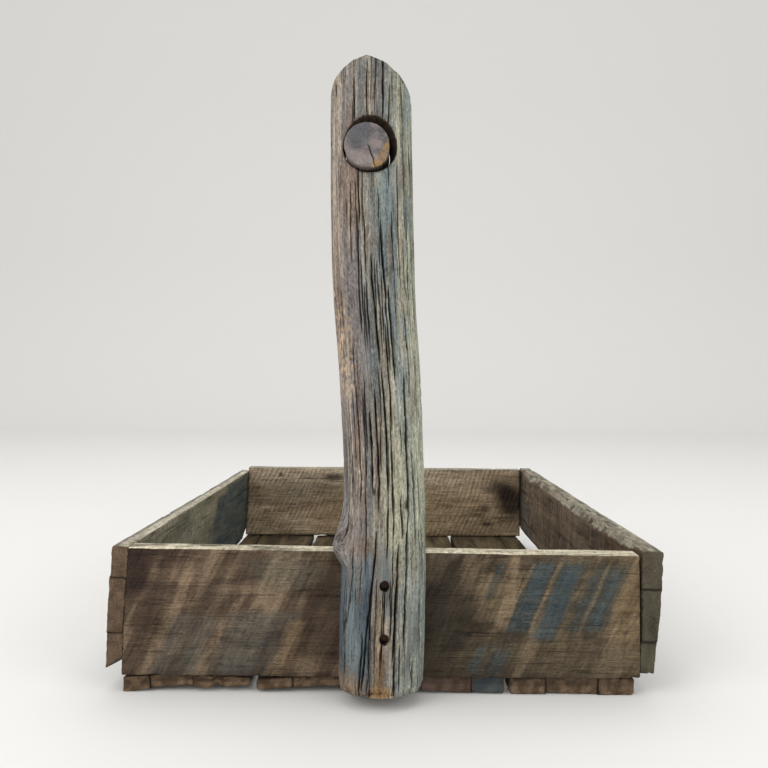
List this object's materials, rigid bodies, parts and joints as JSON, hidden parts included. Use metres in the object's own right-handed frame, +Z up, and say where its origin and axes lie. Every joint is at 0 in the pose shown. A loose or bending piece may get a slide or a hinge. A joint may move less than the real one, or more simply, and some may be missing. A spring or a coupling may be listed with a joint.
{
  "type": "seed corn carrying tray",
  "caption": "Shallow open plank tray with half-log uprights spiked to its ends and a loose round carrying pole between them.",
  "frame": {"origin": "centre of the footprint, on the ground", "axes": "+X to the right across the tray, +Y from the front upright to the rear upright, along the carrying pole, +Z up"},
  "size_m": [0.53, 0.642, 0.59],
  "materials": {
    "post_wood": "weathered grey, deeply checked, traces of blue paint",
    "board_wood": "rough sawn, weathered brown, worn blue paint",
    "floor_wood": "rough sawn, dirty and dark",
    "pole_wood": "worn smooth and dark with handling",
    "rusty_iron": "rusty, dark"
  },
  "bodies": {
    "tray": {"front_post": "post_wood", "rear_post": "post_wood", "front_end_board": "board_wood", "rear_end_board": "board_wood", "left_side_board": "board_wood", "right_side_board": "board_wood", "floor_board_1": "floor_wood", "floor_board_2": "floor_wood", "floor_board_3": "floor_wood", "floor_board_4": "floor_wood", "front_post_spikes": "rusty_iron", "rear_post_spikes": "rusty_iron", "left_side_front_nails": "rusty_iron", "left_side_rear_nails": "rusty_iron", "right_side_front_nails": "rusty_iron", "right_side_rear_nails": "rusty_iron", "floor_board_1_nails": "rusty_iron", "floor_board_2_nails": "rusty_iron", "floor_board_3_nails": "rusty_iron", "floor_board_4_nails": "rusty_iron"},
    "pole": {"carrying_pole": "pole_wood"}
  },
  "joints": [
    {"name": "pole_turn", "type": "hinge", "parent": "tray", "child": "pole", "pos_m": [-0.01886, 0, 0.50786], "axis": [0, 1, 0], "continuous": true}
  ]
}
